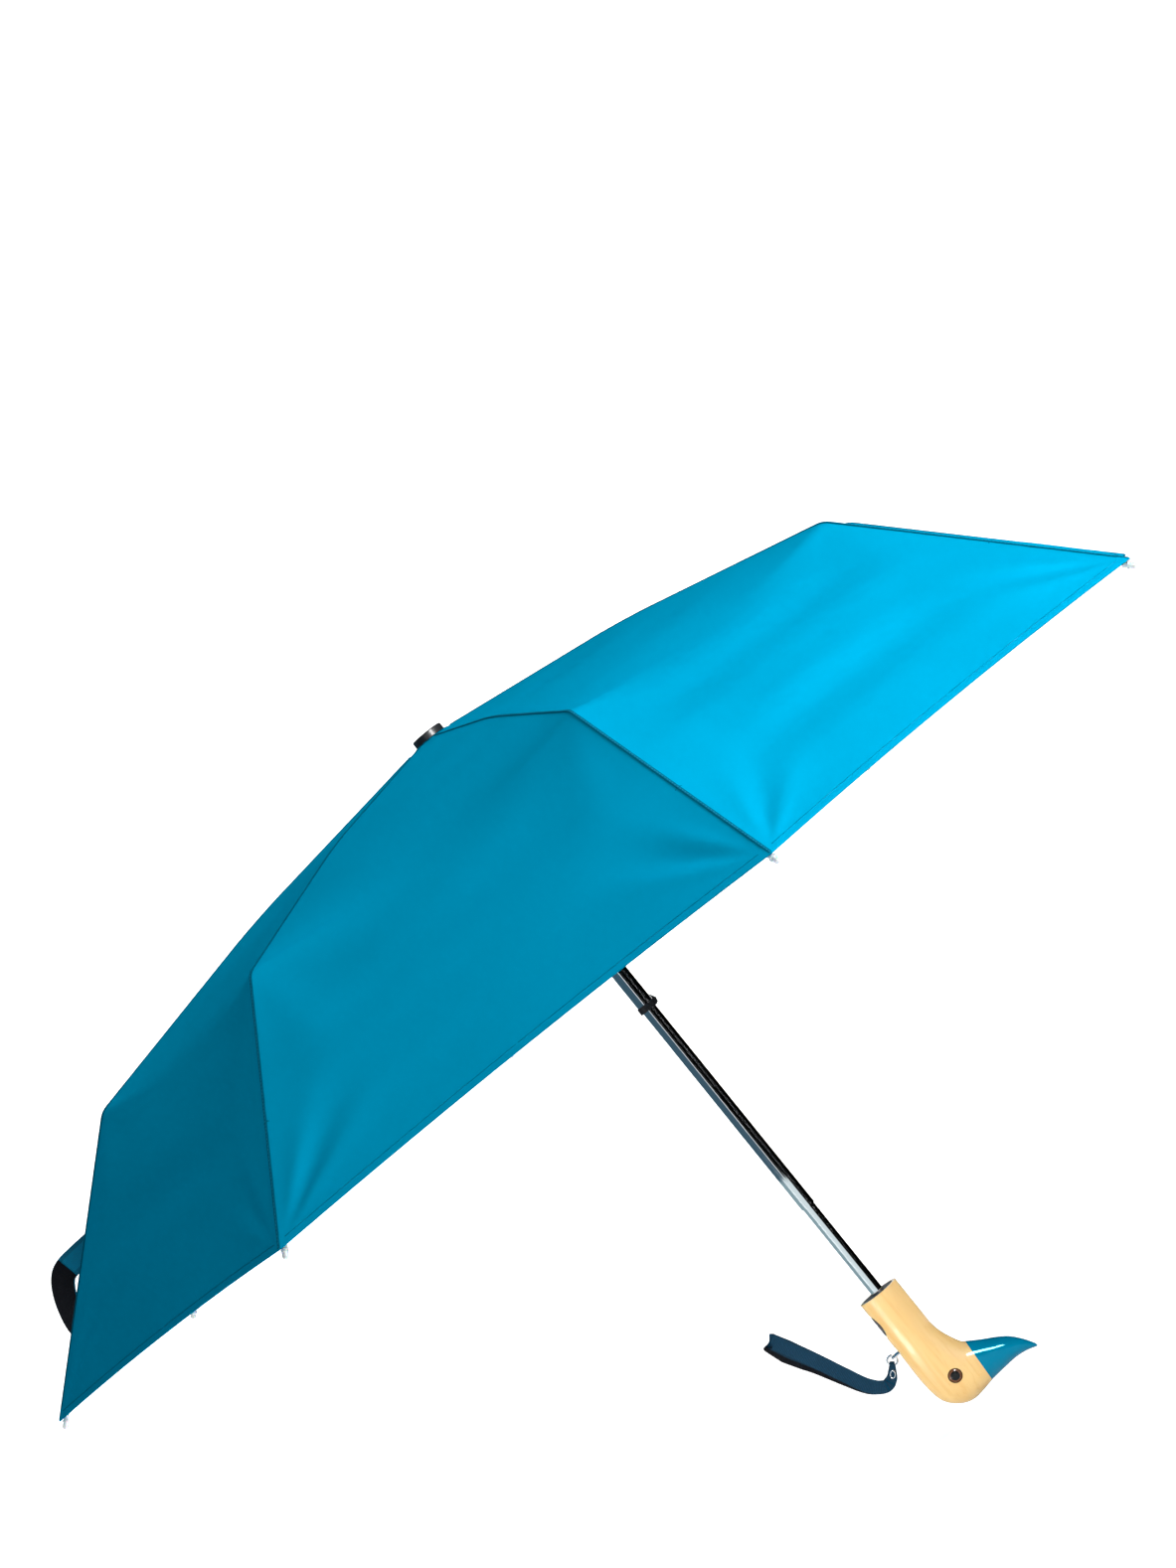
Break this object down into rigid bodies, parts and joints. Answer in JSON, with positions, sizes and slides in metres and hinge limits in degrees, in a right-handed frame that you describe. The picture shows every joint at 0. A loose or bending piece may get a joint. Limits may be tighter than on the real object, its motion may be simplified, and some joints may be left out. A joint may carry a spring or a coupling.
{
  "type": "folding umbrella",
  "caption": "Folding umbrella with a telescopic shaft, hinged ribs, a stretched cloth canopy, a sliding runner and a carved bird-head handle.",
  "frame": {"origin": "on the shaft axis at the middle of the round grip, 20 mm below the top face of the handle", "axes": "+Z along the shaft towards the crown, +X the way the bird beak points, +Y across the beak"},
  "size_m": [0.945, 0.945, 0.595],
  "materials": {
    "maple": "lacquered",
    "beak_lacquer": "gloss lacquer",
    "eye_gloss": "gloss",
    "black_plastic": "satin",
    "cap_plastic": "satin",
    "button_plastic": "satin",
    "spring_steel": "bright",
    "staple_steel": "bright",
    "ring_steel": "bright",
    "strap_webbing": "woven",
    "inner_chrome": "polished",
    "middle_chrome": "polished",
    "outer_chrome": "polished",
    "canopy_cloth": "satin weave",
    "tie_cloth": "satin weave",
    "rib_steel": "zinc plated",
    "rib_aluminium": "satin",
    "fibre_rod": "drawn rod",
    "tip_plastic": "translucent"
  },
  "bodies": {
    "handle_body": {"handle": "maple", "beak": "beak_lacquer", "eyes": "eye_gloss", "handle_insert": "black_plastic", "button_spring": "spring_steel", "strap_staple": "staple_steel", "inner_tube": "inner_chrome"},
    "button": {"release_button": "button_plastic"},
    "strap": {"wrist_strap": "strap_webbing", "strap_ring": "ring_steel"},
    "middle_shaft": {"middle_tube": "middle_chrome"},
    "outer_shaft": {"outer_tube": "outer_chrome", "shaft_collar": "black_plastic", "crown": "black_plastic", "crown_wire": "spring_steel", "crown_cap": "cap_plastic", "canopy": "canopy_cloth", "tie_strap": "tie_cloth"},
    "slider": {"runner": "black_plastic", "runner_wire": "spring_steel"},
    "top_arm_1": {"top_rib_1": "rib_steel"},
    "strut_1": {"stretcher_1": "rib_steel"},
    "middle_arm_1": {"middle_rib_1": "rib_aluminium"},
    "tail_arm_1": {"tail_rib_1": "fibre_rod", "rib_tip_1": "tip_plastic"},
    "top_arm_2": {"top_rib_2": "rib_steel"},
    "strut_2": {"stretcher_2": "rib_steel"},
    "middle_arm_2": {"middle_rib_2": "rib_aluminium"},
    "tail_arm_2": {"tail_rib_2": "fibre_rod", "rib_tip_2": "tip_plastic"},
    "top_arm_3": {"top_rib_3": "rib_steel"},
    "strut_3": {"stretcher_3": "rib_steel"},
    "middle_arm_3": {"middle_rib_3": "rib_aluminium"},
    "tail_arm_3": {"tail_rib_3": "fibre_rod", "rib_tip_3": "tip_plastic"},
    "top_arm_4": {"top_rib_4": "rib_steel"},
    "strut_4": {"stretcher_4": "rib_steel"},
    "middle_arm_4": {"middle_rib_4": "rib_aluminium"},
    "tail_arm_4": {"tail_rib_4": "fibre_rod", "rib_tip_4": "tip_plastic"},
    "top_arm_5": {"top_rib_5": "rib_steel"},
    "strut_5": {"stretcher_5": "rib_steel"},
    "middle_arm_5": {"middle_rib_5": "rib_aluminium"},
    "tail_arm_5": {"tail_rib_5": "fibre_rod", "rib_tip_5": "tip_plastic"},
    "top_arm_6": {"top_rib_6": "rib_steel"},
    "strut_6": {"stretcher_6": "rib_steel"},
    "middle_arm_6": {"middle_rib_6": "rib_aluminium"},
    "tail_arm_6": {"tail_rib_6": "fibre_rod", "rib_tip_6": "tip_plastic"},
    "top_arm_7": {"top_rib_7": "rib_steel"},
    "strut_7": {"stretcher_7": "rib_steel"},
    "middle_arm_7": {"middle_rib_7": "rib_aluminium"},
    "tail_arm_7": {"tail_rib_7": "fibre_rod", "rib_tip_7": "tip_plastic"},
    "top_arm_8": {"top_rib_8": "rib_steel"},
    "strut_8": {"stretcher_8": "rib_steel"},
    "middle_arm_8": {"middle_rib_8": "rib_aluminium"},
    "tail_arm_8": {"tail_rib_8": "fibre_rod", "rib_tip_8": "tip_plastic"}
  },
  "joints": [
    {"name": "button_press", "type": "slide", "parent": "handle_body", "child": "button", "axis": [1, 0, 0], "range_m": [0, 0.002], "stiffness_N_per_m": 300, "deforming": ["button_spring"]},
    {"name": "strap_swing", "type": "hinge", "parent": "handle_body", "child": "strap", "pos_m": [-0.0205, 0, -0.0216], "axis": [0, -1, 0], "range_deg": [-12, 40]},
    {"name": "middle_tube_slide", "type": "slide", "parent": "handle_body", "child": "middle_shaft", "axis": [0, 0, -1], "range_m": [0, 0.07]},
    {"name": "outer_tube_slide", "type": "slide", "parent": "middle_shaft", "child": "outer_shaft", "axis": [0, 0, -1], "range_m": [0, 0.172]},
    {"name": "canopy_fold", "type": "hinge", "parent": "outer_shaft", "child": "top_arm_1", "pos_m": [0.01065, 0.00275, 0.503], "axis": [-0.2504, 0.9681, 0], "range_deg": [0, 78], "deforming": ["canopy", "tie_strap"]},
    {"name": "strut_hinge_1", "type": "hinge", "parent": "top_arm_1", "child": "strut_1", "pos_m": [0.10558, 0.0273, 0.48215], "axis": [-0.2504, 0.9681, 0], "range_deg": [-156.5, 0.5]},
    {"name": "knuckle_hinge_1", "type": "hinge", "parent": "top_arm_1", "child": "middle_arm_1", "pos_m": [0.16924, 0.04377, 0.48301], "axis": [-0.2504, 0.9681, 0], "range_deg": [-180.5, 0.5]},
    {"name": "shoulder_hinge_1", "type": "hinge", "parent": "middle_arm_1", "child": "tail_arm_1", "pos_m": [0.32463, 0.08396, 0.4445], "axis": [-0.2504, 0.9681, 0], "range_deg": [-0.5, 148.9]},
    {"name": "runner_hinge", "type": "hinge", "parent": "strut_1", "child": "slider", "pos_m": [0.01065, 0.00275, 0.4613], "axis": [-0.2504, 0.9681, 0], "range_deg": [-0.5, 78.5]},
    {"name": "top_hinge_2", "type": "hinge", "parent": "outer_shaft", "child": "top_arm_2", "pos_m": [0.00558, 0.00948, 0.503], "axis": [-0.8616, 0.5075, 0], "range_deg": [0, 78]},
    {"name": "strut_hinge_2", "type": "hinge", "parent": "top_arm_2", "child": "strut_2", "pos_m": [0.05535, 0.09396, 0.48215], "axis": [-0.8616, 0.5075, 0], "range_deg": [-156.5, 0.5]},
    {"name": "knuckle_hinge_2", "type": "hinge", "parent": "top_arm_2", "child": "middle_arm_2", "pos_m": [0.08872, 0.15062, 0.48301], "axis": [-0.8616, 0.5075, 0], "range_deg": [-180.5, 0.5]},
    {"name": "shoulder_hinge_2", "type": "hinge", "parent": "middle_arm_2", "child": "tail_arm_2", "pos_m": [0.17018, 0.28891, 0.4445], "axis": [-0.8616, 0.5075, 0], "range_deg": [-0.5, 148.9]},
    {"name": "top_hinge_3", "type": "hinge", "parent": "outer_shaft", "child": "top_arm_3", "pos_m": [-0.00275, 0.01065, 0.503], "axis": [-0.9681, -0.2504, 0], "range_deg": [0, 78]},
    {"name": "strut_hinge_3", "type": "hinge", "parent": "top_arm_3", "child": "strut_3", "pos_m": [-0.0273, 0.10558, 0.48215], "axis": [-0.9681, -0.2504, 0], "range_deg": [-156.5, 0.5]},
    {"name": "knuckle_hinge_3", "type": "hinge", "parent": "top_arm_3", "child": "middle_arm_3", "pos_m": [-0.04377, 0.16924, 0.48301], "axis": [-0.9681, -0.2504, 0], "range_deg": [-180.5, 0.5]},
    {"name": "shoulder_hinge_3", "type": "hinge", "parent": "middle_arm_3", "child": "tail_arm_3", "pos_m": [-0.08396, 0.32463, 0.4445], "axis": [-0.9681, -0.2504, 0], "range_deg": [-0.5, 148.9]},
    {"name": "top_hinge_4", "type": "hinge", "parent": "outer_shaft", "child": "top_arm_4", "pos_m": [-0.00948, 0.00558, 0.503], "axis": [-0.5075, -0.8616, 0], "range_deg": [0, 78]},
    {"name": "strut_hinge_4", "type": "hinge", "parent": "top_arm_4", "child": "strut_4", "pos_m": [-0.09396, 0.05535, 0.48215], "axis": [-0.5075, -0.8616, 0], "range_deg": [-156.5, 0.5]},
    {"name": "knuckle_hinge_4", "type": "hinge", "parent": "top_arm_4", "child": "middle_arm_4", "pos_m": [-0.15062, 0.08872, 0.48301], "axis": [-0.5075, -0.8616, 0], "range_deg": [-180.5, 0.5]},
    {"name": "shoulder_hinge_4", "type": "hinge", "parent": "middle_arm_4", "child": "tail_arm_4", "pos_m": [-0.28891, 0.17018, 0.4445], "axis": [-0.5075, -0.8616, 0], "range_deg": [-0.5, 148.9]},
    {"name": "top_hinge_5", "type": "hinge", "parent": "outer_shaft", "child": "top_arm_5", "pos_m": [-0.01065, -0.00275, 0.503], "axis": [0.2504, -0.9681, 0], "range_deg": [0, 78]},
    {"name": "strut_hinge_5", "type": "hinge", "parent": "top_arm_5", "child": "strut_5", "pos_m": [-0.10558, -0.0273, 0.48215], "axis": [0.2504, -0.9681, 0], "range_deg": [-156.5, 0.5]},
    {"name": "knuckle_hinge_5", "type": "hinge", "parent": "top_arm_5", "child": "middle_arm_5", "pos_m": [-0.16924, -0.04377, 0.48301], "axis": [0.2504, -0.9681, 0], "range_deg": [-180.5, 0.5]},
    {"name": "shoulder_hinge_5", "type": "hinge", "parent": "middle_arm_5", "child": "tail_arm_5", "pos_m": [-0.32463, -0.08396, 0.4445], "axis": [0.2504, -0.9681, 0], "range_deg": [-0.5, 148.9]},
    {"name": "top_hinge_6", "type": "hinge", "parent": "outer_shaft", "child": "top_arm_6", "pos_m": [-0.00558, -0.00948, 0.503], "axis": [0.8616, -0.5075, 0], "range_deg": [0, 78]},
    {"name": "strut_hinge_6", "type": "hinge", "parent": "top_arm_6", "child": "strut_6", "pos_m": [-0.05535, -0.09396, 0.48215], "axis": [0.8616, -0.5075, 0], "range_deg": [-156.5, 0.5]},
    {"name": "knuckle_hinge_6", "type": "hinge", "parent": "top_arm_6", "child": "middle_arm_6", "pos_m": [-0.08872, -0.15062, 0.48301], "axis": [0.8616, -0.5075, 0], "range_deg": [-180.5, 0.5]},
    {"name": "shoulder_hinge_6", "type": "hinge", "parent": "middle_arm_6", "child": "tail_arm_6", "pos_m": [-0.17018, -0.28891, 0.4445], "axis": [0.8616, -0.5075, 0], "range_deg": [-0.5, 148.9]},
    {"name": "top_hinge_7", "type": "hinge", "parent": "outer_shaft", "child": "top_arm_7", "pos_m": [0.00275, -0.01065, 0.503], "axis": [0.9681, 0.2504, 0], "range_deg": [0, 78]},
    {"name": "strut_hinge_7", "type": "hinge", "parent": "top_arm_7", "child": "strut_7", "pos_m": [0.0273, -0.10558, 0.48215], "axis": [0.9681, 0.2504, 0], "range_deg": [-156.5, 0.5]},
    {"name": "knuckle_hinge_7", "type": "hinge", "parent": "top_arm_7", "child": "middle_arm_7", "pos_m": [0.04377, -0.16924, 0.48301], "axis": [0.9681, 0.2504, 0], "range_deg": [-180.5, 0.5]},
    {"name": "shoulder_hinge_7", "type": "hinge", "parent": "middle_arm_7", "child": "tail_arm_7", "pos_m": [0.08396, -0.32463, 0.4445], "axis": [0.9681, 0.2504, 0], "range_deg": [-0.5, 148.9]},
    {"name": "top_hinge_8", "type": "hinge", "parent": "outer_shaft", "child": "top_arm_8", "pos_m": [0.00948, -0.00558, 0.503], "axis": [0.5075, 0.8616, 0], "range_deg": [0, 78]},
    {"name": "strut_hinge_8", "type": "hinge", "parent": "top_arm_8", "child": "strut_8", "pos_m": [0.09396, -0.05535, 0.48215], "axis": [0.5075, 0.8616, 0], "range_deg": [-156.5, 0.5]},
    {"name": "knuckle_hinge_8", "type": "hinge", "parent": "top_arm_8", "child": "middle_arm_8", "pos_m": [0.15062, -0.08872, 0.48301], "axis": [0.5075, 0.8616, 0], "range_deg": [-180.5, 0.5]},
    {"name": "shoulder_hinge_8", "type": "hinge", "parent": "middle_arm_8", "child": "tail_arm_8", "pos_m": [0.28891, -0.17018, 0.4445], "axis": [0.5075, 0.8616, 0], "range_deg": [-0.5, 148.9]}
  ],
  "couplings": [
    {"joint": "strut_hinge_1", "follows": "canopy_fold", "ratio": -2},
    {"joint": "knuckle_hinge_1", "follows": "canopy_fold", "ratio": -2.3077},
    {"joint": "shoulder_hinge_1", "follows": "canopy_fold", "ratio": 1.9026},
    {"joint": "runner_hinge", "follows": "canopy_fold", "ratio": 1},
    {"joint": "top_hinge_2", "follows": "canopy_fold", "ratio": 1},
    {"joint": "strut_hinge_2", "follows": "canopy_fold", "ratio": -2},
    {"joint": "knuckle_hinge_2", "follows": "canopy_fold", "ratio": -2.3077},
    {"joint": "shoulder_hinge_2", "follows": "canopy_fold", "ratio": 1.9026},
    {"joint": "top_hinge_3", "follows": "canopy_fold", "ratio": 1},
    {"joint": "strut_hinge_3", "follows": "canopy_fold", "ratio": -2},
    {"joint": "knuckle_hinge_3", "follows": "canopy_fold", "ratio": -2.3077},
    {"joint": "shoulder_hinge_3", "follows": "canopy_fold", "ratio": 1.9026},
    {"joint": "top_hinge_4", "follows": "canopy_fold", "ratio": 1},
    {"joint": "strut_hinge_4", "follows": "canopy_fold", "ratio": -2},
    {"joint": "knuckle_hinge_4", "follows": "canopy_fold", "ratio": -2.3077},
    {"joint": "shoulder_hinge_4", "follows": "canopy_fold", "ratio": 1.9026},
    {"joint": "top_hinge_5", "follows": "canopy_fold", "ratio": 1},
    {"joint": "strut_hinge_5", "follows": "canopy_fold", "ratio": -2},
    {"joint": "knuckle_hinge_5", "follows": "canopy_fold", "ratio": -2.3077},
    {"joint": "shoulder_hinge_5", "follows": "canopy_fold", "ratio": 1.9026},
    {"joint": "top_hinge_6", "follows": "canopy_fold", "ratio": 1},
    {"joint": "strut_hinge_6", "follows": "canopy_fold", "ratio": -2},
    {"joint": "knuckle_hinge_6", "follows": "canopy_fold", "ratio": -2.3077},
    {"joint": "shoulder_hinge_6", "follows": "canopy_fold", "ratio": 1.9026},
    {"joint": "top_hinge_7", "follows": "canopy_fold", "ratio": 1},
    {"joint": "strut_hinge_7", "follows": "canopy_fold", "ratio": -2},
    {"joint": "knuckle_hinge_7", "follows": "canopy_fold", "ratio": -2.3077},
    {"joint": "shoulder_hinge_7", "follows": "canopy_fold", "ratio": 1.9026},
    {"joint": "top_hinge_8", "follows": "canopy_fold", "ratio": 1},
    {"joint": "strut_hinge_8", "follows": "canopy_fold", "ratio": -2},
    {"joint": "knuckle_hinge_8", "follows": "canopy_fold", "ratio": -2.3077},
    {"joint": "shoulder_hinge_8", "follows": "canopy_fold", "ratio": 1.9026}
  ]
}
